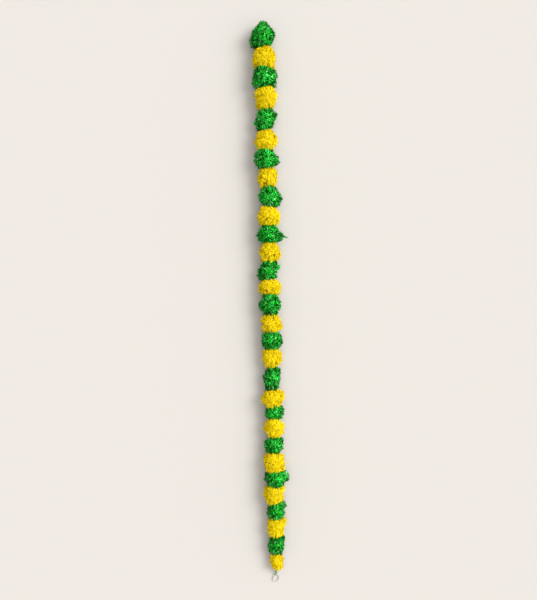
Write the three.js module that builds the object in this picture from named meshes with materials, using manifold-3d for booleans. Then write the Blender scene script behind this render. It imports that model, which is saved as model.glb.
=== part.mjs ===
// A garland of pompom blooms cut from green and yellow film, strung tight in turn on one cord.
// The cord ends in a small wire ring. The garland lies straight along Y on the surface z = 0,
// with its pointed end toward +Y and the ring toward -Y, and each bloom is pressed flat where
// it rests. Millimetres, +Z up, origin under the middle of the whole garland's box.

import * as THREE from "three";
import { ConvexHull } from "three/addons/math/ConvexHull.js";
import { mergeVertices } from "three/addons/utils/BufferGeometryUtils.js";
import Module from "manifold-3d";

const wasm = await Module();
wasm.setup();

// Driving dimensions.
const CLEARANCE = 0.3; // between pieces that touch
const TIP_Y = 763.07; // the pointed end
const TIP_X = -2.675; // the cord's line, before each bloom's own shift
const CORD_DIAMETER = 2.6;
const KNOT_DIAMETER = 8;
const FIRST_KNOT = 6; // beyond the first bloom's middle
const KNOT_DEPTH = 14; // of the last knot, inside the last bloom
const KNOT_SINK = 0.85; // and its height, as a share of that bloom's middle
const STUB_LENGTH = 15.7; // cord between the last bloom and the ring
const STUB_ASIDE = -2.9; // how far the stub swings aside on its way to the ring
const WIRE_DIAMETER = 2.2;
const RING_LIFT = 5.5; // height of the wire's middle where the cord holds it
const RING_DROP = 22.7; // from there to the wire's middle at the ring's far end

// The blooms from the pointed end: length along the cord, width, sideways shift, how far the
// lower face leans, in degrees, up on the right, and where the trimmed outline swells or falls
// in: clockwise from the pointed end in degrees, and how far. Odd rows are green, even yellow.
const BLOOMS = [
  [74, 66, -3, 20, [[48, -3], [90, 3], [118, -4], [235, 6], [252, 3], [282, -4], [312, -17]]],
  [57, 64, -2, -4, [[140, 5], [298, -5]]],
  [50, 70, -3.5, 10, [[48, 5], [76, 6], [128, 7], [264, -3], [292, -15]]],
  [59, 61, 0.5, 22, [[76, 4], [115, -3], [258, -7]]],
  [56, 58, -2, 20, [[58, 6], [112, -6], [130, -5], [292, -21]]],
  [55, 64, -2, 6, [[52, -4], [90, 3], [128, -6], [243, -8], [298, -17]]],
  [46, 66, -3, 6, [[56, -9], [76, 3], [104, 7], [128, 4], [240, -11], [305, -5]]],
  [52, 58, 0, 12, [[76, -2], [235, -6], [298, -11]]],
  [52, 64, 5.5, -22, [[52, -14], [102, 3], [230, -13], [306, -9]]],
  [52, 62, 0, -8, [[48, -7], [80, 5], [118, 3], [240, -4], [302, -14]]],
  [45, 67, 1.5, 7, [[55, -20], [104, 10], [310, -11]]],
  [53, 60, 2.5, 3, [[48, -12], [90, -4], [108, 3], [242, -5], [306, -12]]],
  [49, 57, -2.5, 8, [[73, 5], [102, -8], [240, 5], [305, -16]]],
  [39, 64, 0, 5, [[58, -5], [292, -4], [312, -6]]],
  [57, 63, 0, 7, [[50, -11], [125, -11], [226, -13], [306, -14]]],
  [46, 58, 2, 2, [[58, -8], [112, 5], [134, -5], [267, -12], [292, 5]]],
  [43, 60, 3, 0, [[62, -5], [132, -8], [228, -6], [286, -5], [312, 5]]],
  [51, 56, 2, 21, [[48, -3], [130, -4], [235, -7], [286, -6]]],
  [62, 47, 0.5, 9, [[48, 4], [132, -5], [242, -5], [322, -10]]],
  [43, 63, 1.5, 9, [[76, 4], [115, -8], [134, 7], [238, -5], [305, -9]]],
  [34, 54, 3, 5, [[60, 4], [230, -17], [284, -4], [312, -10]]],
  [52, 56, 1.5, 6, [[44, -9], [72, 4], [232, -13], [303, -9]]],
  [41, 54, 0.5, -3, [[48, 5], [132, -5], [240, -4], [284, -5]]],
  [48, 60, 0, 9, [[134, 6], [252, -8]]],
  [41, 63, 4.5, -2, [[70, 9], [104, 3], [122, -14], [246, -15]]],
  [44, 59, -2.5, 12, [[50, 5], [66, 3], [96, -5], [245, -6], [295, -3]]],
  [45, 50, 2.5, 18, [[50, 7], [92, -3], [280, -5], [312, -9]]],
  [44, 51, 2, 32, [[58, 14], [95, -7], [132, 6], [245, -5], [292, -6]]],
  [52, 46, 2, -3, [[42, 11], [122, -2], [298, -4], [314, -6]]],
  [43, 36, 2, 0, [[200, -7], [228, -5], [250, -2]]],
];

// How a bloom is shaped.
const BLADES_A_BLOOM = 48;
const FIRST_SEED = 1000; // of the first bloom's own draw of numbers
const SPREAD = 0.8; // share of blades placed evenly, the rest draw toward the bloom's waist
const JITTER = 0.16; // how far a blade's direction strays
const BOXINESS = 2.6; // 2 is a plain oval, more is a barrel
const LOBE_SPREAD = 0.06; // how widely the outline swells round each lobe
const FULL_LOBE = 5; // a blade stands in the middle of each lobe that swells this far
const NECK = 0.7; // width where neighbours meet, as a share of the full width
const POINT_BOXINESS = 1.7; // the free end of the first bloom
const LAST_NECK = 0.6; // the free end of the last bloom
const TIP_REACH = [0.93, 1.05]; // blade tips, as a share of the bloom's outline
const VALLEY_REACH = [0.64, 0.7]; // the core between the blades
const RIDGE_SHARE = 0.55; // blade width as a share of the room it has
const PRESS = 0.86; // the cord's height over the surface, as a share of the bloom's radius
const RESTS_WITHIN = 0.98; // what would all but reach the surface lies flat on it
const MEETS_WITHIN = 0.9; // and what would reach this far past a neighbour's face lies on that

// How finely the cord and the ring are made.
const BAR_SIDES = 8;
const CORD_STEPS = 50;
const LOOP_STEPS = 42;
const RING_STEPS = 38;

const GREEN = { color: 0x1f8f2a, roughness: 0.3, metalness: 0 };
const YELLOW = { color: 0xf2c50d, roughness: 0.7, metalness: 0 };
const CORD_GREEN = { color: 0x5fb06a, roughness: 0.6, metalness: 0 };
const RING_GREY = { color: 0xcfcbc6, roughness: 0.35, metalness: 0.2 };

const garland = new THREE.Group();

// The same draw of numbers each time, for one seed.
function randomFrom(seed) {
  let state = seed >>> 0;
  return () => {
    state = (state + 0x6d2b79f5) >>> 0;
    let mixed = Math.imul(state ^ (state >>> 15), state | 1);
    mixed ^= mixed + Math.imul(mixed ^ (mixed >>> 7), mixed | 61);
    return ((mixed ^ (mixed >>> 14)) >>> 0) / 4294967296;
  };
}

const between = ([low, high], share) => low + (high - low) * share;

function solidOf(geometry) {
  const bare = geometry.clone();
  bare.deleteAttribute("normal");
  bare.deleteAttribute("uv");
  const merged = mergeVertices(bare, 1e-4);
  return new wasm.Manifold(
    new wasm.Mesh({
      numProp: 3,
      vertProperties: merged.attributes.position.array,
      triVerts: new Uint32Array(merged.index.array),
    }),
  );
}

function addPiece(name, solid, finish) {
  const mesh = solid.getMesh();
  const geometry = new THREE.BufferGeometry();
  geometry.setAttribute("position", new THREE.BufferAttribute(mesh.vertProperties, 3));
  geometry.setIndex(new THREE.BufferAttribute(mesh.triVerts, 1));
  geometry.computeVertexNormals();
  const material = new THREE.MeshStandardMaterial({ ...finish, flatShading: true });
  const piece = new THREE.Mesh(geometry, material);
  piece.name = name;
  garland.add(piece);
}

// A round bar with flat ends that follows a curve.
function bar(curve, radius, steps) {
  const outline = new THREE.Shape();
  for (let side = 0; side < BAR_SIDES; side++) {
    const turn = (side / BAR_SIDES) * 2 * Math.PI;
    outline[side ? "lineTo" : "moveTo"](radius * Math.cos(turn), radius * Math.sin(turn));
  }
  const options = { steps, extrudePath: curve, bevelEnabled: false };
  return solidOf(new THREE.ExtrudeGeometry(outline, options));
}

// Where each bloom's middle lies on the cord, the leaning planes where blooms meet, the knot
// that holds the last bloom, and the middle of the ring's wire inside the cord's loop.
function layOut() {
  const radii = BLOOMS.map(([, width]) => width / 2);
  const middles = [];
  const faces = [];
  let y = TIP_Y;
  BLOOMS.forEach(([length, , shift, lean], index) => {
    const before = radii[Math.max(index - 1, 0)];
    const after = radii[Math.min(index + 1, radii.length - 1)];
    const height = (PRESS * (before + 2 * radii[index] + after)) / 4;
    middles.push(new THREE.Vector3(TIP_X + shift, y - length / 2, height));
    y -= length;
    faces.push({ y, lean: THREE.MathUtils.degToRad(lean) });
  });
  const planes = faces.map((face, index) => {
    const here = middles[index];
    const next = middles[index + 1] ?? here;
    const point = new THREE.Vector3((here.x + next.x) / 2, face.y, 0);
    const up = new THREE.Vector3(-Math.sin(face.lean), Math.cos(face.lean), 0);
    return { point, up };
  });
  const last = middles[middles.length - 1];
  const lastKnot = new THREE.Vector3(last.x, y + KNOT_DEPTH, KNOT_SINK * last.z);
  const ringTop = new THREE.Vector3(last.x + STUB_ASIDE, y - STUB_LENGTH, RING_LIFT);
  return { middles, planes, lastKnot, ringTop };
}

// Where a bloom's outline swells or falls in: the directions, and how far.
const lobesOf = (lobes) =>
  lobes.map(([clock, swell]) => {
    const turn = THREE.MathUtils.degToRad(clock);
    return { toward: new THREE.Vector3(Math.sin(turn), Math.cos(turn), 0), swell };
  });

// How far a bloom reaches from its middle in one direction, before anything presses on it.
function outlineReach(direction, lobes, radius, reachUp, reachDown, boxUp) {
  const along = Math.abs(direction.y);
  const across = Math.sqrt(Math.max(0, 1 - along * along));
  const reach = direction.y > 0 ? reachUp : reachDown;
  const boxiness = direction.y > 0 ? boxUp : BOXINESS;
  const sum = (across / radius) ** boxiness + (along / reach) ** boxiness;
  const swellOf = ({ toward, swell }) =>
    swell * Math.exp((direction.dot(toward) - 1) / LOBE_SPREAD);
  return lobes.reduce((free, lobe) => free + swellOf(lobe), sum ** (-1 / boxiness));
}

// Directions over a ball, turned by the golden angle, a little thinned toward the cord. The one
// nearest to each full lobe moves into it.
function bladeDirections(count, lobes, random) {
  const golden = Math.PI * (3 - Math.sqrt(5));
  const directions = Array.from({ length: count }, (_, index) => {
    const even = (2 * index + 1) / count - 1;
    const along = SPREAD * even + (1 - SPREAD) * even ** 3;
    const across = Math.sqrt(1 - along * along);
    const turn = index * golden;
    const wander = () => JITTER * (random() - 0.5);
    const direction = new THREE.Vector3(across * Math.cos(turn), along, across * Math.sin(turn));
    return direction.add(new THREE.Vector3(wander(), wander(), wander())).normalize();
  });
  for (const { toward } of lobes.filter(({ swell }) => swell >= FULL_LOBE)) {
    const nearness = directions.map((direction) => direction.dot(toward));
    directions[nearness.indexOf(Math.max(...nearness))].copy(toward);
  }
  return directions;
}

// The valleys round each blade: the middles of the hull's triangles, in order round it.
function cellsRound(directions) {
  const hull = new ConvexHull().setFromPoints(directions);
  const valleys = [];
  const cells = directions.map(() => []);
  for (const face of hull.faces) {
    const corners = [];
    let edge = face.edge;
    do {
      corners.push(directions.indexOf(edge.head().point));
      edge = edge.next;
    } while (edge !== face.edge);
    const valley = new THREE.Vector3();
    corners.forEach((corner) => valley.add(directions[corner]));
    valleys.push(valley.normalize());
    corners.forEach((corner) => cells[corner].push(valleys.length - 1));
  }
  cells.forEach((cell, index) => {
    const direction = directions[index];
    const side = new THREE.Vector3(direction.z, 0, -direction.x).normalize();
    const other = new THREE.Vector3().crossVectors(direction, side);
    const turnTo = (foot) => Math.atan2(valleys[foot].dot(other), valleys[foot].dot(side));
    cell.sort((one, another) => turnTo(one) - turnTo(another));
  });
  return { valleys, cells };
}

// One bloom as blades that stand out of a small core. Every blade is a roof whose ridge lies
// across it, and whose foot is the ring of valleys round it.
function bladedBloom(middle, lobes, reachOf, roomOf, random) {
  const directions = bladeDirections(BLADES_A_BLOOM, lobes, random);
  const { valleys, cells } = cellsRound(directions);
  const points = [];
  const triangles = [];
  const place = (direction, share) => {
    const free = reachOf(direction);
    const { below, beside } = roomOf(direction);
    const pressed = below < RESTS_WITHIN * free || beside < MEETS_WITHIN * free;
    const reach = Math.min(below, beside, pressed ? Infinity : share * free);
    points.push(direction.clone().multiplyScalar(reach).add(middle));
    return points.length - 1;
  };
  const feet = valleys.map((valley) => place(valley, between(VALLEY_REACH, random())));
  directions.forEach((direction, index) => {
    const cell = cells[index];
    const narrowest = Math.min(...cell.map((foot) => valleys[foot].angleTo(direction)));
    const ridge = new THREE.Vector3(random() - 0.5, random() - 0.5, random() - 0.5);
    ridge.cross(direction).normalize();
    const share = between(TIP_REACH, random());
    const ends = [-1, 1].map((way) => {
      const end = direction.clone().addScaledVector(ridge, way * RIDGE_SHARE * narrowest);
      return place(end.normalize(), share);
    });
    const nearEnd = (foot) => (valleys[foot].dot(ridge) < direction.dot(ridge) ? ends[0] : ends[1]);
    cell.forEach((foot, corner) => {
      const next = cell[(corner + 1) % cell.length];
      triangles.push(feet[foot], feet[next], nearEnd(foot));
      if (nearEnd(foot) !== nearEnd(next)) triangles.push(feet[next], nearEnd(next), nearEnd(foot));
    });
  });
  return new wasm.Manifold(
    new wasm.Mesh({
      numProp: 3,
      vertProperties: new Float32Array(points.flatMap((point) => point.toArray())),
      triVerts: new Uint32Array(triangles),
    }),
  );
}

// The reach that gives a bloom of this length its neck where it meets its neighbour.
const reachFor = (length, neck) => length / 2 / (1 - neck ** BOXINESS) ** (1 / BOXINESS);

function makeBloom(index, { middles, planes }) {
  const [length, width, , , listed] = BLOOMS[index];
  const lobes = lobesOf(listed);
  const middle = middles[index];
  const isFirst = index === 0;
  const isLast = index === BLOOMS.length - 1;
  const reachUp = isFirst ? length / 2 : reachFor(length, NECK);
  const reachDown = reachFor(length, isLast ? LAST_NECK : NECK);
  const boxUp = isFirst ? POINT_BOXINESS : BOXINESS;
  const reachOf = (direction) =>
    outlineReach(direction, lobes, width / 2, reachUp, reachDown, boxUp);
  const faces = [
    { ...planes[index], way: -1 },
    ...(isFirst ? [] : [{ ...planes[index - 1], way: 1 }]),
  ];
  const roomOf = (direction) => {
    const below = direction.z < 0 ? middle.z / -direction.z : Infinity;
    let beside = Infinity;
    for (const { point, up, way } of faces) {
      const toward = way * direction.dot(up);
      const away = way * point.clone().sub(middle).dot(up) - CLEARANCE / 2;
      if (toward > 0) beside = Math.min(beside, away / toward);
    }
    return { below, beside };
  };
  return bladedBloom(middle, lobes, reachOf, roomOf, randomFrom(FIRST_SEED + index));
}

// The cord's line through every bloom, from a knot in the first to a knot in the last.
function cordCurve({ middles, lastKnot }) {
  const first = middles[0].clone().add(new THREE.Vector3(0, FIRST_KNOT, 0));
  return new THREE.CatmullRomCurve3([first, ...middles, lastKnot], false, "centripetal");
}

// The doubled stub: out of the last knot, over the ring's wire, round it and back. Its two legs
// lie side by side in the bloom, and at the ring one is above the other.
function loopCurve({ lastKnot, ringTop }) {
  const turn = WIRE_DIAMETER / 2 + CLEARANCE + CORD_DIAMETER / 2;
  const slant = 0.71 * turn;
  const apart = CORD_DIAMETER / 2 + CLEARANCE / 2;
  const sag = 2.4;
  const at = (from, x, y, z) => new THREE.Vector3(from.x + x, from.y + y, from.z + z);
  return new THREE.CatmullRomCurve3(
    [
      at(lastKnot, -apart, 0, 0),
      at(lastKnot, -apart, -KNOT_DEPTH, -sag),
      at(ringTop, -0.8 * apart, 9, 4.9),
      at(ringTop, -0.5 * apart, 3.5, turn + 0.5),
      at(ringTop, 0, 0, turn),
      at(ringTop, 0, -slant, slant),
      at(ringTop, 0, -turn, 0),
      at(ringTop, 0, -slant, -slant),
      at(ringTop, 0.3 * apart, 0, -turn),
      at(ringTop, 1.1 * apart, 3.5, -turn + 0.9),
      at(ringTop, 0.8 * apart, 9, 2.2),
      at(lastKnot, apart, -KNOT_DEPTH, -sag),
      at(lastKnot, apart, 0, 0),
    ],
    false,
    "centripetal",
  );
}

// The whole cord, or with some room added, the way it takes through the blooms.
function cordSolid(layout, room) {
  const radius = CORD_DIAMETER / 2 + room;
  const knotRadius = KNOT_DIAMETER / 2 + room;
  const curve = cordCurve(layout);
  const ends = [curve.getPoint(0), curve.getPoint(1)];
  const knots = ends.map((end) => {
    const knot = new THREE.IcosahedronGeometry(knotRadius);
    return solidOf(knot.translate(end.x, end.y, end.z));
  });
  const through = bar(curve, radius, CORD_STEPS);
  const pieces = [through, bar(loopCurve(layout), radius, LOOP_STEPS), ...knots];
  return pieces.reduce((whole, piece) => whole.add(piece));
}

// The pear-shaped ring of bent wire, tilted from the cord's loop down to the surface. Its ends
// all but meet on one shoulder.
function ringSolid({ ringTop }) {
  const radius = WIRE_DIAMETER / 2;
  const outline = [
    [7.6, -8.3],
    [6.5, -4],
    [3.4, -0.9],
    [0, 0],
    [-2.4, -1.4],
    [-4.5, -5.7],
    [-6.8, -10.3],
    [-8.7, -14.6],
    [-8.7, -18.7],
    [-6.6, -21.6],
    [-3.4, -RING_DROP],
    [0.2, -21.9],
    [3.9, -19.3],
    [6.8, -15.6],
    [7.8, -12],
    [7.8, -9.4],
  ];
  const tilt = Math.asin((RING_LIFT - radius) / RING_DROP);
  const points = outline.map(([x, y]) =>
    new THREE.Vector3(x, y * Math.cos(tilt), y * Math.sin(tilt)).add(ringTop),
  );
  return bar(new THREE.CatmullRomCurve3(points, false, "centripetal"), radius, RING_STEPS);
}

const layout = layOut();
const bore = cordSolid(layout, CLEARANCE);
BLOOMS.forEach((_, index) => {
  const isGreen = index % 2 === 0;
  const number = String(index + 1).padStart(2, "0");
  const bloom = makeBloom(index, layout).subtract(bore);
  addPiece(`bloom_${number}_${isGreen ? "green" : "yellow"}`, bloom, isGreen ? GREEN : YELLOW);
});
addPiece("cord", cordSolid(layout, 0), CORD_GREEN);
addPiece("hanging_ring", ringSolid(layout), RING_GREY);

export default garland;
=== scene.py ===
import math

import bpy
import numpy as np
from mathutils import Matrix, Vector


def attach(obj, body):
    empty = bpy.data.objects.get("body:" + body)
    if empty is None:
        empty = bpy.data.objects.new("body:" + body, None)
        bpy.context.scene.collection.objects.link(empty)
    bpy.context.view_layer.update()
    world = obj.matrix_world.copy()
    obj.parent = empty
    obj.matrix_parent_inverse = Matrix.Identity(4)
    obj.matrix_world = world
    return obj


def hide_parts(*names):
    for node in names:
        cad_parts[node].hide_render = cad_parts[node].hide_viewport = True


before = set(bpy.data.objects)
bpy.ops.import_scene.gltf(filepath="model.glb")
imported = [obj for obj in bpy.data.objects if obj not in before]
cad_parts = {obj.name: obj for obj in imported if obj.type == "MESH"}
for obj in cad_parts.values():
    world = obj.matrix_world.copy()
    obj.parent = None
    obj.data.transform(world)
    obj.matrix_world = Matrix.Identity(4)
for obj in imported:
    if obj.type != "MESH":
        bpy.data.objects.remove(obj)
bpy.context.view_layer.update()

# ---------------------------------------------------------------------------------------------
# The view: straight down on the garland as it lies, from a little over two metres, with the
# garland running very slightly askew across it.
camera_height = 2.28
camera_offset = (-0.00657, 0.01004)
camera_turn = math.radians(-1.33)
lens_mm = 50.0

camera = bpy.data.objects.new("camera", bpy.data.cameras.new("camera"))
camera.location = (*camera_offset, camera_height)
camera.rotation_euler = (0, 0, camera_turn)
camera.data.lens = lens_mm
bpy.context.scene.collection.objects.link(camera)
bpy.context.scene.camera = camera

# ---------------------------------------------------------------------------------------------
# How the blooms are strung: one after the other on a tight cord, alternately green and yellow,
# each pressed against the next, and all lying on the surface under their own weight.

# One row a bloom, from the pointed end, in millimetres and degrees: length along the cord, width,
# sideways shift of the middle, the lean of the lower face, up on the right, how far the top of
# that face tips over the bloom above, and where the trimmed outline swells or falls in: clockwise
# from the pointed end, and how far.
strung = [
    (73, 66, -3.0, 23, -7, [(48, -3), (90, 3), (118, -4), (235, 6), (252, 3), (282, -4), (312, -17)]),
    (55, 64, -2.0, -7, 5, [(140, 5), (298, -5)]),
    (52, 70, -3.5, 12, 11, [(48, 5), (76, 6), (128, 7), (264, -3), (292, -15)]),
    (59, 61, 0.5, 30, 5, [(76, 4), (115, -3), (258, -7)]),
    (57, 58, -2.0, 17, -9, [(58, 6), (112, -6), (130, -5), (292, -21)]),
    (53, 64, -2.0, 6, 0, [(52, -4), (90, 3), (128, -6), (243, -8), (298, -17)]),
    (49, 66, -3.0, 11, -12, [(56, -9), (76, 3), (104, 7), (128, 4), (240, -11), (305, -5)]),
    (50, 58, 0.0, 17, 17, [(76, -2), (235, -6), (298, -11)]),
    (54, 64, 5.5, -23, -5, [(52, -14), (102, 3), (230, -13), (306, -9)]),
    (51, 62, 0.0, -4, 0, [(48, -7), (80, 5), (118, 3), (240, -4), (302, -14)]),
    (46, 67, 1.5, 11, 0, [(55, -20), (104, 10), (310, -11)]),
    (50, 60, 2.5, 9, -2, [(48, -12), (90, -4), (108, 3), (242, -5), (306, -12)]),
    (50, 57, -2.5, 10, -9, [(73, 5), (102, -8), (240, 5), (305, -16)]),
    (38, 64, 0.0, 12, 18, [(58, -5), (292, -4), (312, -6)]),
    (58, 63, 0.0, 8, 1, [(50, -11), (125, -11), (226, -13), (306, -14)]),
    (45, 58, 2.0, 0, 15, [(58, -8), (112, 5), (134, -5), (267, -12), (292, 5)]),
    (46, 60, 3.0, 1, 5, [(62, -5), (132, -8), (228, -6), (286, -5), (312, 5)]),
    (49, 56, 2.0, 25, 3, [(48, -3), (130, -4), (235, -7), (286, -6)]),
    (64, 47, 0.5, 5, -9, [(48, 4), (132, -5), (242, -5), (322, -10)]),
    (41, 63, 1.5, 13, -7, [(76, 4), (115, -8), (134, 7), (238, -5), (305, -9)]),
    (36, 54, 3.0, 11, 3, [(60, 4), (230, -17), (284, -4), (312, -10)]),
    (48, 56, 1.5, 8, 20, [(44, -9), (72, 4), (232, -13), (303, -9)]),
    (43, 54, 0.5, -7, 1, [(48, 5), (132, -5), (240, -4), (284, -5)]),
    (50, 60, 0.0, 8, -14, [(134, 6), (252, -8)]),
    (40, 63, 4.5, 0, 2, [(70, 9), (104, 3), (122, -14), (246, -15)]),
    (43, 59, -2.5, 6, -6, [(50, 5), (66, 3), (96, -5), (245, -6), (295, -3)]),
    (46, 50, 2.5, 17, -5, [(50, 7), (92, -3), (280, -5), (312, -9)]),
    (44, 51, 2.0, 29, -20, [(60, 8), (95, -7), (132, 6), (245, -5), (292, -6)]),
    (50, 46, 2.0, -7, -6, [(44, 6), (122, -2), (298, -4), (314, -6)]),
    (45, 36, 2.0, 0, 0, [(200, -7), (228, -5), (250, -2)]),
]

# The pointed end's place, and how high a bloom lies for its width.
tip_x = -2.675
tip_y = 763.07
press = 0.86

length, width, shift, lean, tip = (np.array(column, float) for column in list(zip(*strung))[:5])
ends_y = tip_y - np.cumsum(length)
neighbour_width = (np.r_[width[0], width[:-1]] + 2 * width + np.r_[width[1:], width[-1]]) / 4
middles = np.stack([tip_x + shift, ends_y + length / 2, press * neighbour_width / 2], axis=1)

# ---------------------------------------------------------------------------------------------
# The cord: green, laid up from three strands, tight through every bloom, with a knot in the
# first and in the last. Below the last bloom it is doubled round the ring's wire.
mm = 0.001
cord_diameter = 2.6
strand_diameter = 1.3
strand_pitch = 7.0
knot_diameter = 8.0
knot_length = 6.4
knot_pitch = 2.1
wire_diameter = 2.2
clearance = 0.3

# How far the first knot lies past its bloom's middle, how deep the last one lies in its bloom, and
# how high, as a share of the middle's height.
first_knot = 6.0
knot_depth = 14.0
knot_height = 0.85

# Where the ring's top lies: how far below the last bloom, how far aside and how high.
stub_length = 15.7
stub_aside = -2.9
ring_lift = 5.5


def blend(near, far, near_time, far_time, time):
    """The point between two others that a time between theirs gives."""
    return ((far_time - time) * near + (time - near_time) * far) / (far_time - near_time)


def smooth_path(points, spacing):
    """Points about one spacing apart on a smooth curve through the given ones."""
    points = np.array(points, float)
    padded = np.vstack([2 * points[0] - points[1], points, 2 * points[-1] - points[-2]])
    times = np.r_[0, np.cumsum(np.linalg.norm(np.diff(padded, axis=0), axis=1) ** 0.5)]
    spans = []
    for index in range(1, len(padded) - 2):
        near = padded[index - 1 : index + 3]
        t0, t1, t2, t3 = times[index - 1 : index + 3]
        time = np.linspace(t1, t2, 40, endpoint=False)[:, None]
        first = blend(near[0], near[1], t0, t1, time)
        second = blend(near[1], near[2], t1, t2, time)
        third = blend(near[2], near[3], t2, t3, time)
        early = blend(first, second, t0, t2, time)
        late = blend(second, third, t1, t3, time)
        spans.append(blend(early, late, t1, t2, time))
    fine = np.vstack([*spans, points[-1:]])
    walked = np.r_[0, np.cumsum(np.linalg.norm(np.diff(fine, axis=0), axis=1))]
    stops = np.linspace(0, walked[-1], max(2, round(walked[-1] / spacing)) + 1)
    return np.stack([np.interp(stops, walked, fine[:, axis]) for axis in range(3)], axis=1)


def unit(vectors):
    """The same directions, one long."""
    return vectors / np.linalg.norm(vectors, axis=-1, keepdims=True)


def frames_along(path):
    """Two directions across a path at each of its points, which don't twist about it."""
    tangents = unit(np.gradient(path, axis=0))
    side = np.cross(tangents[0], (0.3, 0.2, 1.0))
    sides = []
    for tangent in tangents:
        side = unit(side - (side @ tangent) * tangent)
        sides.append(side)
    return np.array(sides), np.cross(tangents, sides)


def twisted(path, lay_radius, pitch, phase):
    """The line of one strand that winds about a path."""
    walked = np.r_[0, np.cumsum(np.linalg.norm(np.diff(path, axis=0), axis=1))]
    turn = (2 * math.pi * walked / pitch + phase)[:, None]
    side, other = frames_along(path)
    return path + lay_radius * (np.cos(turn) * side + np.sin(turn) * other)


def round_bar(path, diameter, sides):
    """The vertices and faces of a round bar with closed ends that follows a path."""
    side, other = frames_along(path)
    turn = (np.arange(sides) * 2 * math.pi / sides)[None, :, None]
    rim = np.cos(turn) * side[:, None] + np.sin(turn) * other[:, None]
    vertices = (path[:, None] + diameter / 2 * rim).reshape(-1, 3)
    last = len(vertices) - sides
    faces = [tuple(range(sides))[::-1], tuple(range(last, len(vertices)))]
    for low in range(0, last, sides):
        for corner in range(sides):
            beside = (corner + 1) % sides
            faces.append((low + corner, low + beside, low + beside + sides, low + corner + sides))
    return vertices, faces


def bars_object(name, bars, material):
    """One object made of several round bars, smooth along their length."""
    vertices, faces = [], []
    for bar_vertices, bar_faces in bars:
        first = len(vertices)
        vertices.extend((bar_vertices * mm).tolist())
        faces.extend(tuple(first + corner for corner in face) for face in bar_faces)
    mesh = bpy.data.meshes.new(name)
    mesh.from_pydata(vertices, [], faces)
    mesh.polygons.foreach_set("use_smooth", [len(face) == 4 for face in faces])
    mesh.materials.append(material)
    made = bpy.data.objects.new(name, mesh)
    bpy.context.scene.collection.objects.link(made)
    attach(made, "root")
    return made


last = middles[-1]
top_knot = middles[0] + np.array([0, first_knot, 0])
low_knot = np.array([last[0], ends_y[-1] + knot_depth, knot_height * last[2]])
ring_top = np.array([last[0] + stub_aside, ends_y[-1] - stub_length, ring_lift])
round_wire = wire_diameter / 2 + clearance + cord_diameter / 2
slant = 0.71 * round_wire
apart = cord_diameter / 2 + clearance / 2
sag = 2.4
through_path = smooth_path([top_knot, *middles, low_knot], spacing=6.0)
loop_path = smooth_path(
    [
        low_knot + (-apart, 0, 0),
        low_knot + (-apart, -knot_depth, -sag),
        ring_top + (-0.8 * apart, 9, 4.9),
        ring_top + (-0.5 * apart, 3.5, round_wire + 0.5),
        ring_top + (0, 0, round_wire),
        ring_top + (0, -slant, slant),
        ring_top + (0, -round_wire, 0),
        ring_top + (0, -slant, -slant),
        ring_top + (0.3 * apart, 0, -round_wire),
        ring_top + (1.1 * apart, 3.5, 0.9 - round_wire),
        ring_top + (0.8 * apart, 9, 2.2),
        low_knot + (apart, -knot_depth, -sag),
        low_knot + (apart, 0, 0),
    ],
    spacing=0.45,
)
lay_radius = (cord_diameter - strand_diameter) / 2
cord_bars = [round_bar(through_path, cord_diameter, sides=8)]
for strand in range(3):
    line = twisted(loop_path, lay_radius, strand_pitch, phase=strand * 2 * math.pi / 3)
    cord_bars.append(round_bar(line, strand_diameter, sides=8))
for knot in (top_knot, low_knot):
    ends = (-knot_length / 2, 0, knot_length / 2)
    core = smooth_path([knot + (0, along, 0) for along in ends], spacing=0.4)
    winding = twisted(core, (knot_diameter - cord_diameter) / 2, knot_pitch, phase=0.0)
    cord_bars.append(round_bar(smooth_path(winding, spacing=0.9), cord_diameter, sides=8))

cord_fibre = bpy.data.materials.new("cord_fibre")
cord_fibre.use_nodes = True
nodes, links = cord_fibre.node_tree.nodes, cord_fibre.node_tree.links
shader = nodes["Principled BSDF"]
shader.inputs["Sheen Weight"].default_value = 0.2
shader.inputs["Specular IOR Level"].default_value = 0.25
place = nodes.new("ShaderNodeTexCoord")
stretch = nodes.new("ShaderNodeMapping")
stretch.inputs["Scale"].default_value = (4200, 700, 4200)
fibres = nodes.new("ShaderNodeTexNoise")
fibres.inputs["Scale"].default_value = 1.0
fibres.inputs["Detail"].default_value = 3.0
tint = nodes.new("ShaderNodeValToRGB")
tint.color_ramp.elements[0].position = 0.3
tint.color_ramp.elements[0].color = (0.03, 0.17, 0.035, 1)
tint.color_ramp.elements[1].position = 0.7
tint.color_ramp.elements[1].color = (0.12, 0.42, 0.13, 1)
dull = nodes.new("ShaderNodeMapRange")
dull.inputs["To Min"].default_value = 0.75
dull.inputs["To Max"].default_value = 0.45
raised = nodes.new("ShaderNodeBump")
raised.inputs["Strength"].default_value = 0.6
raised.inputs["Distance"].default_value = 0.0001
links.new(place.outputs["Object"], stretch.inputs["Vector"])
links.new(stretch.outputs["Vector"], fibres.inputs["Vector"])
links.new(fibres.outputs["Fac"], tint.inputs["Fac"])
links.new(fibres.outputs["Fac"], dull.inputs["Value"])
links.new(fibres.outputs["Fac"], raised.inputs["Height"])
links.new(tint.outputs["Color"], shader.inputs["Base Color"])
links.new(dull.outputs["Result"], shader.inputs["Roughness"])
links.new(raised.outputs["Normal"], shader.inputs["Normal"])
cord = bars_object("twisted_cord", cord_bars, cord_fibre)
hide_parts("cord")

# ---------------------------------------------------------------------------------------------
# The green blooms: bundles of thin, glossy plastic film strips, tied on the cord at their middle,
# fluffed out all round and trimmed to a ball. The strips' cut ends bend over, and neighbouring
# blooms and the surface press them flat.
golden_turn = math.pi * (3 - math.sqrt(5))

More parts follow.
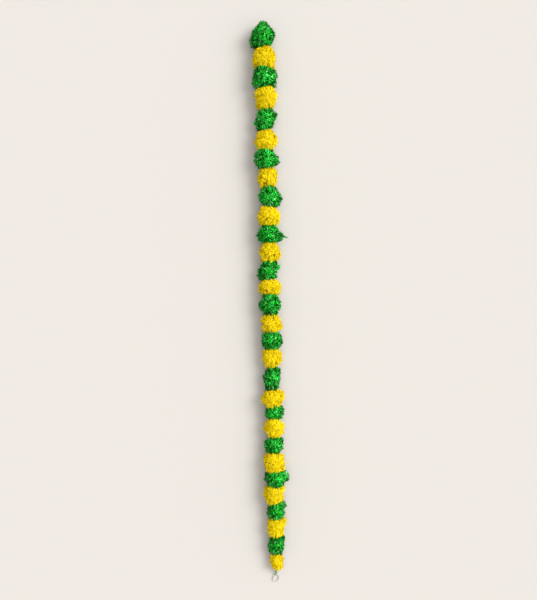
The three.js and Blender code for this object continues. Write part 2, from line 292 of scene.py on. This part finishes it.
# Tufts that missed the trimming, and gaps where tufts have parted: bloom, clockwise from the
# pointed end and up from the surface in degrees, and how far out or how deep in millimetres.
stray_tufts = [
    (1, 2, 25, 3), (2, 104, 20, 3), (2, 148, 30, 7), (4, 80, 20, 3), (4, 275, 15, 3),
    (5, 68, 15, 6), (5, 258, 10, 4), (6, 262, 15, 3), (7, 292, 20, 3), (8, 80, 20, 3),
    (8, 236, 20, 4), (9, 105, 15, 2), (10, 287, 15, 3), (10, 50, 20, 3), (11, 101, 12, 13),
    (12, 102, 15, 3), (12, 268, 15, 3), (15, 2, 66, 7), (16, 282, 15, 4), (16, 252, 15, 4),
    (18, 262, 15, 4), (19, 290, 20, 3), (22, 272, 10, 5), (24, 250, 20, 3), (25, 90, 15, 5),
    (26, 268, 10, 4), (26, 58, 20, 3), (28, 250, 20, 3), (30, 148, 15, 4), (30, 215, 20, 3),
]
parted_gaps = [
    (1, 214, 38, 10), (2, 224, 22, 8), (4, 250, 12, 10), (5, 238, 40, 9), (7, 202, 42, 14),
    (8, 198, 45, 10), (8, 232, 15, 8), (9, 212, 35, 10), (12, 192, 45, 9), (13, 322, 50, 14),
    (13, 295, 30, 10), (15, 205, 45, 10), (16, 262, 28, 14), (16, 222, 52, 9), (19, 345, 48, 12),
    (19, 15, 75, 10), (19, 165, 62, 12), (20, 285, 35, 7), (22, 235, 30, 8), (23, 285, 62, 9),
    (25, 212, 35, 11), (26, 302, 35, 8), (26, 262, 42, 6), (27, 262, 40, 8), (28, 285, 40, 8),
]


def pointing(clock, rise=0):
    """The direction at a clock angle from the pointed end and a rise from the surface."""
    turn, up = math.radians(clock), math.radians(rise)
    return np.array(
        [math.sin(turn) * math.cos(up), math.cos(turn) * math.cos(up), math.sin(up)]
    )


def ball_directions(count, rng, wander):
    """Directions spread evenly over a ball by the golden angle, each moved a little."""
    rank = np.arange(count)
    along = 1 - (2 * rank + 1) / count
    across = np.sqrt(1 - along**2)
    turn = rank * golden_turn
    even = np.stack([across * np.cos(turn), along, across * np.sin(turn)], axis=1)
    return unit(even + rng.normal(0, wander, (count, 3)))


def bloom_outline(directions, index, rng, lumpiness):
    """How far the strips reach in each direction, before neighbours and the surface press."""
    neck = 0.74  # a bloom's width where it meets the next, as a share of its full width
    boxiness = 2.6
    point_boxiness = 1.7  # of the first bloom's free end, which is pointed
    last_reach = 1.12  # of the last bloom's free end, as a share of half its length
    lobe_spread = 0.06
    lump_spread = 0.07
    lumps = 26
    is_first, is_last = index == 0, index == len(strung) - 1
    half = length[index] / 2
    fitted = half / (1 - neck**boxiness) ** (1 / boxiness)
    reach_up = half if is_first else fitted
    reach_down = half * last_reach if is_last else fitted
    up = directions[:, 1] > 0
    reach = np.where(up, reach_up, reach_down)
    power = np.where(up & is_first, point_boxiness, boxiness)
    along = np.abs(directions[:, 1])
    across = np.sqrt(np.clip(1 - along**2, 0, 1))
    free = ((across / (width[index] / 2)) ** power + (along / reach) ** power) ** (-1 / power)
    for clock, swell in strung[index][5]:
        free = free + swell * np.exp((directions @ pointing(clock) - 1) / lobe_spread)
    lump = ball_directions(lumps, rng, 0.25)
    heights = rng.normal(0, lumpiness, lumps)
    nearness = np.exp((directions @ lump.T - 1) / lump_spread)
    return free * (1 + (nearness * heights).sum(axis=1))


def strip_mesh(name, spines, widths, flat_sides, middle):
    """A mesh of thin flat strips: a line down each one's middle, its widths and its flat sides.

    Each point keeps where it lies on its strip, and the way out from the bloom's middle.
    """
    strips, rings, _ = spines.shape
    across = unit(np.cross(unit(np.gradient(spines, axis=1)), flat_sides))
    half = across * (widths / 2)[..., None]
    walked = np.linalg.norm(np.diff(spines, axis=1), axis=-1).cumsum(axis=1)
    walked = np.concatenate([np.zeros((strips, 1)), walked], axis=1)
    lane = 10.0 * np.arange(strips)[:, None]  # so that no two strips have the same streaks
    place = np.zeros((strips, rings, 2, 3), np.float32)
    place[..., 0] = np.stack([lane - widths / 2, lane + widths / 2], axis=2)
    place[..., 1] = walked[..., None]
    vertices = np.stack([spines - half, spines + half], axis=2)
    first = np.arange(strips)[:, None] * rings * 2 + np.arange(rings - 1) * 2
    quads = (first[..., None] + np.array([0, 1, 3, 2])).reshape(-1, 4)
    mesh = bpy.data.meshes.new(name)
    mesh.vertices.add(strips * rings * 2)
    mesh.vertices.foreach_set("co", (vertices * mm).astype(np.float32).ravel())
    mesh.loops.add(quads.size)
    mesh.loops.foreach_set("vertex_index", quads.astype(np.int32).ravel())
    mesh.polygons.add(len(quads))
    mesh.polygons.foreach_set("loop_start", np.arange(0, quads.size, 4, dtype=np.int32))
    mesh.update(calc_edges=True)
    on_strip = mesh.attributes.new("on_strip", "FLOAT_VECTOR", "POINT")
    on_strip.data.foreach_set("vector", place.ravel())
    outward = mesh.attributes.new("outward", "FLOAT_VECTOR", "POINT")
    outward.data.foreach_set("vector", unit(vertices - middle).astype(np.float32).ravel())
    mesh.shade_flat()
    return mesh


def meeting_face(index):
    """A point high on the face under a bloom, and the direction that it looks along the cord."""
    following = middles[min(index + 1, len(middles) - 1)]
    across, _, height = (middles[index] + following) / 2
    slope, over = math.radians(lean[index]), math.radians(tip[index])
    facing = np.array([-math.sin(slope), math.cos(slope), -math.tan(over)])
    return np.array([across, ends_y[index], 1.8 * height]), unit(facing)


def make_pompom(index, material, slot_name, build, seed):
    """One bloom: strips from the cord out to the trimmed ball, each one's end bent over."""
    rng = np.random.default_rng(seed + index)
    middle = middles[index]
    is_first, is_last = index == 0, index == len(strung) - 1

    # Strips point all round, but not where the next bloom hides them.
    hidden = 0.93
    aims = ball_directions(build["strips"], rng, wander=0.045)
    hidden_up = (aims[:, 1] > hidden) & (not is_first)
    hidden_down = (aims[:, 1] < -hidden) & (not is_last)
    aims = aims[~(hidden_up | hidden_down)]
    count = len(aims)

    # They gather in tufts, which stand out as cones, and most closely in the stray ones.
    tuft_spread = 2.2
    widest_stray, stray_slimness = 0.16, 1.8
    straying, stray_straying = 0.08, 0.35
    stray_gather = 0.6
    tufts = ball_directions(build["tufts"], rng, wander=0.1)
    heights = build["tuft_height"] * rng.uniform(0.3, 1.7, len(tufts))
    spreads = np.full(len(tufts), tuft_spread / math.sqrt(build["tufts"]))
    for bloom, clock, rise, beyond in stray_tufts:
        if bloom == index + 1:
            tufts = np.vstack([tufts, pointing(clock, rise)])
            heights = np.append(heights, beyond + build["tuft_height"])
            spreads = np.append(spreads, min(widest_stray, stray_slimness / beyond))

    def closeness(directions):
        """How near each direction is to the middle of each tuft, from 0 at its edge to 1."""
        apart = np.arccos(np.clip(directions @ tufts.T, -1, 1))
        return np.clip(1 - apart / spreads, 0, 1)

    near = closeness(aims)
    nearest = near.argmax(axis=1)
    is_stray = (nearest >= build["tufts"]) & (near.max(axis=1) > 0)
    gather = np.where(is_stray, stray_gather, build["gather"])[:, None]
    strayed = rng.normal(0, straying, (count, 3)) * np.where(is_stray, stray_straying, 1)[:, None]
    aims = unit(aims + gather * (tufts[nearest] - aims) + strayed)

    # On top, some strips at the rims lie over the next bloom: way is 1 up the cord, -1 down it.
    rim, rim_width = 0.62, 0.16
    on_top = np.clip(2 * aims[:, 2] - 0.4, 0, 1)
    both_faces = ((-1, index), (1, index - 1))
    faces = [(way, face) for way, face in both_faces if 0 <= face < len(strung) - 1]
    laid_over = np.zeros(count)
    for way, face in faces:
        chance = np.clip(0.35 + 0.04 * way * tip[face], 0.05, 0.9) * on_top
        at_rim = np.abs(aims[:, 1] * way - rim) < rim_width
        laid_over[at_rim & (rng.random(count) < chance)] = way

    # Each strip's end bends over by its own curl, and fewer stay straight on the brushed top.
    root = 0.12
    share, bent = np.array(build["bends"]).T
    brushed = np.clip(aims[:, 2], 0, 1) * np.sqrt(1 - np.abs(aims[:, 1]))
    straight = (rng.random(count) < build["straight"] * (1 - 0.85 * brushed)) | is_stray
    straight &= laid_over == 0
    curl = np.where(straight, rng.normal(12, 10, count), rng.normal(*build["curl"], count))
    angle = np.radians(curl.clip(0, 100))[:, None] * bent[1:]
    step = np.diff(share)
    outward = np.cumsum(np.c_[np.full(count, root), step * np.cos(angle)], axis=1)
    sideways = np.cumsum(np.c_[np.zeros(count), step * np.sin(angle)], axis=1)
    sway = rng.normal(size=(len(tufts), 3))[nearest] + 0.7 * rng.normal(size=(count, 3))
    bend_way = unit(np.cross(aims, sway))
    along_cord = np.array([0.0, 1.0, 0.0]) * laid_over[:, None] + 0.25 * bend_way
    level = unit(along_cord - (along_cord * aims).sum(axis=1)[:, None] * aims)
    bend_way = np.where(laid_over[:, None] != 0, level, bend_way)
    spines = outward[..., None] * aims[:, None] + sideways[..., None] * bend_way[:, None]

    # Trimming: a strip's farthest point lands on the outline, higher in a tuft, lower in a gap.
    gap_spread = 0.24
    farthest = np.linalg.norm(spines, axis=-1).argmax(axis=1)
    ends = spines[np.arange(count), farthest]
    judged = np.where(laid_over[:, None] != 0, aims, unit(ends))
    reach = bloom_outline(judged, index, rng, build["lumpiness"]) + build["grow"]
    trimmed = 1 - np.abs(rng.normal(0, 0.025, count))
    is_short = (rng.random(count) < build["short"]) & ~straight
    standing = (closeness(unit(ends)) * heights).max(axis=1) - 0.35 * build["tuft_height"]
    standing *= 1 - 0.4 * on_top
    standing += np.where(laid_over != 0, rng.uniform(-5, 4, len(tufts))[nearest], 0)
    for bloom, clock, rise, depth in parted_gaps:
        if bloom == index + 1:
            apart = np.arccos(np.clip(unit(ends) @ pointing(clock, rise), -1, 1))
            standing -= depth * np.sqrt(np.clip(1 - apart / gap_spread, 0, 1))
    reach = reach * np.where(is_short, rng.uniform(0.74, 0.93, count), trimmed) + standing
    spines *= (reach / np.linalg.norm(ends, axis=1))[:, None, None]
    spines = spines + middle

    # The next blooms stop the strips, apart from those laid over, and the surface stops them all.
    laid_reach = 12
    for way, face in faces:
        point, toward = meeting_face(face)
        past = ((spines - point) @ toward) * way
        allowed = rng.uniform(-1, 2, count) + np.maximum(standing, 0) * on_top
        allowed = np.where(laid_over == way, laid_reach, allowed)[:, None]
        spines = spines - (np.maximum(past - allowed, 0) * way)[..., None] * toward
    lowest = rng.uniform(1.2, 3, count)[:, None]
    spines[..., 2] = np.maximum(spines[..., 2], lowest)

    taper = np.interp(share, [0, 0.45, 0.85, 1], [0.15, 0.8, 1, 0.8])
    widths = build["width"] * rng.uniform(0.75, 1.25, count)[:, None] * taper
    flat_sides = np.repeat(bend_way[:, None], len(share), axis=1)
    colour = slot_name.split("_")[0]
    name = f"pompom_{index + 1:02d}_{colour}"
    piece = bpy.data.objects.new(name, strip_mesh(name, spines, widths, flat_sides, middle))
    piece.data.materials.append(material)
    bpy.context.scene.collection.objects.link(piece)
    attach(piece, "root")
    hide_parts(f"bloom_{index + 1:02d}_{colour}")


# Drawn film: each strip has a shade of its own and fine streaks along it, in its shade, dullness
# and surface. Which strips keep a clear gloss goes by patches. The surface is lit part of the way
# as the whole ball would be, since light passes through the film.
film_streaks = bpy.data.node_groups.new("film_streaks", "ShaderNodeTree")
film_streaks.interface.new_socket("Softness", in_out="INPUT", socket_type="NodeSocketFloat")
film_streaks.interface.new_socket("Shade", in_out="OUTPUT", socket_type="NodeSocketFloat")
film_streaks.interface.new_socket("Gloss", in_out="OUTPUT", socket_type="NodeSocketFloat")
film_streaks.interface.new_socket("Normal", in_out="OUTPUT", socket_type="NodeSocketVector")
nodes, links = film_streaks.nodes, film_streaks.links
streaks_in = nodes.new("NodeGroupInput")
streaks_out = nodes.new("NodeGroupOutput")
on_strip = nodes.new("ShaderNodeAttribute")
on_strip.attribute_name = "on_strip"
drawn = nodes.new("ShaderNodeMapping")
drawn.inputs["Scale"].default_value = (3.0, 0.25, 1.0)
streak = nodes.new("ShaderNodeTexNoise")
streak.inputs["Scale"].default_value = 1.0
streak.inputs["Detail"].default_value = 3.0
lifted = nodes.new("ShaderNodeBump")
lifted.inputs["Strength"].default_value = 0.35
lifted.inputs["Distance"].default_value = 0.0002
geometry = nodes.new("ShaderNodeNewGeometry")
outward = nodes.new("ShaderNodeAttribute")
outward.attribute_name = "outward"
softened = nodes.new("ShaderNodeMix")
softened.data_type = "VECTOR"
own_normal, ball_normal = softened.inputs[4], softened.inputs[5]
facing = nodes.new("ShaderNodeVectorMath")
facing.operation = "NORMALIZE"
shuffle = nodes.new("ShaderNodeMath")
shuffle.operation = "MULTIPLY"
shuffle.inputs[1].default_value = 37.0
shuffled = nodes.new("ShaderNodeMath")
shuffled.operation = "FRACT"
body = nodes.new("ShaderNodeTexCoord")
patches = nodes.new("ShaderNodeTexNoise")
patches.inputs["Scale"].default_value = 160.0
patches.inputs["Detail"].default_value = 1.0
between = nodes.new("ShaderNodeMapRange")
between.inputs["From Min"].default_value = 0.54
between.inputs["From Max"].default_value = 0.6
between.inputs["To Min"].default_value = 1.0
between.inputs["To Max"].default_value = 0.0
gloss_at = nodes.new("ShaderNodeMath")
gloss_at.operation = "ADD"
mixed = nodes.new("ShaderNodeMix")
mixed.inputs["Factor"].default_value = 0.25
links.new(streaks_in.outputs["Softness"], softened.inputs["Factor"])
links.new(geometry.outputs["Normal"], own_normal)
links.new(outward.outputs["Vector"], ball_normal)
links.new(softened.outputs[1], facing.inputs[0])
links.new(facing.outputs["Vector"], lifted.inputs["Normal"])
links.new(on_strip.outputs["Vector"], drawn.inputs["Vector"])
links.new(drawn.outputs["Vector"], streak.inputs["Vector"])
links.new(streak.outputs["Fac"], lifted.inputs["Height"])
links.new(geometry.outputs["Random Per Island"], mixed.inputs["A"])
links.new(streak.outputs["Fac"], mixed.inputs["B"])
links.new(geometry.outputs["Random Per Island"], shuffle.inputs[0])
links.new(shuffle.outputs[0], shuffled.inputs[0])
links.new(mixed.outputs["Result"], streaks_out.inputs["Shade"])
links.new(body.outputs["Object"], patches.inputs["Vector"])
links.new(patches.outputs["Fac"], between.inputs["Value"])
links.new(between.outputs["Result"], gloss_at.inputs[0])
links.new(shuffled.outputs[0], gloss_at.inputs[1])
links.new(gloss_at.outputs[0], streaks_out.inputs["Gloss"])
links.new(lifted.outputs["Normal"], streaks_out.inputs["Normal"])


def film_material(name, shades, metallic, roughness, specular, glossy_share, softness):
    """Thin cut film: each strip has its own shade, and some strips keep a clear gloss."""
    material = bpy.data.materials.new(name)
    material.use_nodes = True
    nodes, links = material.node_tree.nodes, material.node_tree.links
    shader = nodes["Principled BSDF"]
    shader.inputs["Metallic"].default_value = metallic
    shader.inputs["Specular IOR Level"].default_value = specular
    shader.inputs["Coat Roughness"].default_value = 0.1
    shader.inputs["Coat IOR"].default_value = 2.0
    streaks = nodes.new("ShaderNodeGroup")
    streaks.node_tree = film_streaks
    streaks.inputs["Softness"].default_value = softness
    ramp = nodes.new("ShaderNodeValToRGB")
    for spare in range(len(shades) - 2):
        ramp.color_ramp.elements.new(0.5)
    for element, (place, colour) in zip(ramp.color_ramp.elements, shades):
        element.position = place
        element.color = (*colour, 1)
    gloss = nodes.new("ShaderNodeMath")
    gloss.operation = "LESS_THAN"
    gloss.inputs[1].default_value = glossy_share
    dull = nodes.new("ShaderNodeMapRange")
    dull.inputs["To Min"].default_value = roughness - 0.1
    dull.inputs["To Max"].default_value = roughness + 0.1
    links.new(streaks.outputs["Shade"], ramp.inputs["Fac"])
    links.new(streaks.outputs["Shade"], dull.inputs["Value"])
    links.new(streaks.outputs["Gloss"], gloss.inputs[0])
    links.new(streaks.outputs["Normal"], shader.inputs["Normal"])
    links.new(ramp.outputs["Color"], shader.inputs["Base Color"])
    links.new(dull.outputs["Result"], shader.inputs["Roughness"])
    links.new(gloss.outputs[0], shader.inputs["Coat Weight"])
    return material


green_film = film_material(
    "green_film",
    [
        (0.15, (0.001, 0.015, 0.0015)),
        (0.38, (0.003, 0.13, 0.005)),
        (0.6, (0.008, 0.44, 0.016)),
        (0.82, (0.04, 0.90, 0.08)),
    ],
    metallic=0.3,
    roughness=0.45,
    specular=0.05,
    glossy_share=0.7,
    softness=0.75,
)

# How many strips and how wide, how much of its curl a strip has at each share of its length, the
# curl and how much it differs, the shares of straight and of short strips, the tufts and how
# closely strips gather in them, and how lumpy the ball is and how far it grows past its sizes.
green_build = dict(
    strips=4200,
    width=1.7,
    bends=[(0, 0), (0.68, 0), (0.85, 0.5), (1, 1)],
    curl=(60, 22),
    straight=0.5,
    short=0.3,
    tufts=220,
    tuft_height=5,
    gather=0.35,
    lumpiness=0.03,
    grow=-1.0,
)
for index in range(0, len(strung), 2):
    make_pompom(index, green_film, "green_film", green_build, seed=100)

# ---------------------------------------------------------------------------------------------
# The yellow blooms: the same bundles of plastic film strips, here matt, denser and more even.
# They are tied and trimmed as the green ones are.
yellow_film = film_material(
    "yellow_film",
    [
        (0.1, (0.56, 0.45, 0.006)),
        (0.4, (0.80, 0.61, 0.002)),
        (0.9, (0.87, 0.665, 0.004)),
    ],
    metallic=0.0,
    roughness=0.7,
    specular=0.08,
    glossy_share=0.03,
    softness=0.3,
)
yellow_build = dict(
    strips=5000,
    width=1.7,
    bends=[(0, 0), (0.72, 0), (0.88, 0.5), (1, 1)],
    curl=(64, 18),
    straight=0.5,
    short=0.25,
    tufts=320,
    tuft_height=5,
    gather=0.35,
    lumpiness=0.02,
    grow=-1.0,
)
for index in range(1, len(strung), 2):
    make_pompom(index, yellow_film, "yellow_film", yellow_build, seed=200)

# ---------------------------------------------------------------------------------------------
# The hanging ring: one piece of grey coated wire bent to a pear, its cut ends all but meeting
# on one shoulder. It lies from the cord's loop down to the surface.
ring_drop = 22.7
ring_outline = [
    (7.6, -8.3), (6.5, -4), (3.4, -0.9), (0, 0), (-2.4, -1.4), (-4.5, -5.7), (-6.8, -10.3),
    (-8.7, -14.6), (-8.7, -18.7), (-6.6, -21.6), (-3.4, -ring_drop), (0.2, -21.9),
    (3.9, -19.3), (6.8, -15.6), (7.8, -12), (7.8, -9.4),
]
tilt = math.asin((ring_lift - wire_diameter / 2) / ring_drop)
ring_points = [
    ring_top + np.array([x, y * math.cos(tilt), y * math.sin(tilt)]) for x, y in ring_outline
]
ring_wire = bpy.data.materials.new("ring_wire")
ring_wire.use_nodes = True
nodes, links = ring_wire.node_tree.nodes, ring_wire.node_tree.links
shader = nodes["Principled BSDF"]
place = nodes.new("ShaderNodeTexCoord")
specks = nodes.new("ShaderNodeTexNoise")
specks.inputs["Scale"].default_value = 900.0
specks.inputs["Detail"].default_value = 4.0
tint = nodes.new("ShaderNodeValToRGB")
tint.color_ramp.elements[0].position = 0.35
tint.color_ramp.elements[0].color = (0.42, 0.405, 0.385, 1)
tint.color_ramp.elements[1].position = 0.65
tint.color_ramp.elements[1].color = (0.58, 0.565, 0.54, 1)
dull = nodes.new("ShaderNodeMapRange")
dull.inputs["To Min"].default_value = 0.5
dull.inputs["To Max"].default_value = 0.25
links.new(place.outputs["Object"], specks.inputs["Vector"])
links.new(specks.outputs["Fac"], tint.inputs["Fac"])
links.new(specks.outputs["Fac"], dull.inputs["Value"])
links.new(tint.outputs["Color"], shader.inputs["Base Color"])
links.new(dull.outputs["Result"], shader.inputs["Roughness"])
ring_bar = round_bar(smooth_path(ring_points, spacing=0.6), wire_diameter, sides=14)
ring = bars_object("bent_wire_ring", [ring_bar], ring_wire)
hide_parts("hanging_ring")

# ---------------------------------------------------------------------------------------------
# The floor and the light: a plain warm white surface, a soft light from the right, a broader and
# weaker one with it, and a pale room all round.
floor_reach = 12.0
corners = [(x * floor_reach, y * floor_reach, 0) for x, y in ((-1, -1), (1, -1), (1, 1), (-1, 1))]
floor_mesh = bpy.data.meshes.new("floor")
floor_mesh.from_pydata(corners, [], [(0, 1, 2, 3)])
floor = bpy.data.objects.new("floor", floor_mesh)
bpy.context.scene.collection.objects.link(floor)
floor_paint = bpy.data.materials.new("floor_paint")
floor_paint.use_nodes = True
shader = floor_paint.node_tree.nodes["Principled BSDF"]
shader.inputs["Base Color"].default_value = (0.52, 0.496, 0.468, 1)
shader.inputs["Roughness"].default_value = 0.9
floor_mesh.materials.append(floor_paint)


def add_sun(name, strength, softness, from_side, elevation):
    """A light from far away, as wide as softness in the sky, all angles in degrees."""
    lamp = bpy.data.lights.new(name, "SUN")
    lamp.energy = strength
    lamp.angle = math.radians(softness)
    light = bpy.data.objects.new(name, lamp)
    side, rise = math.radians(from_side), math.radians(elevation)
    level = math.cos(rise)
    toward = Vector((math.cos(side) * level, math.sin(side) * level, math.sin(rise)))
    light.rotation_euler = toward.to_track_quat("Z", "Y").to_euler()
    bpy.context.scene.collection.objects.link(light)


add_sun("key", strength=2.42, softness=34, from_side=20, elevation=46)
add_sun("broad", strength=1.63, softness=110, from_side=10, elevation=60)
world = bpy.data.worlds.new("room")
world.use_nodes = True
background = world.node_tree.nodes["Background"]
background.inputs["Color"].default_value = (1, 0.985, 0.96, 1)
background.inputs["Strength"].default_value = 0.65
bpy.context.scene.world = world
bpy.context.scene.view_settings.view_transform = "Standard"
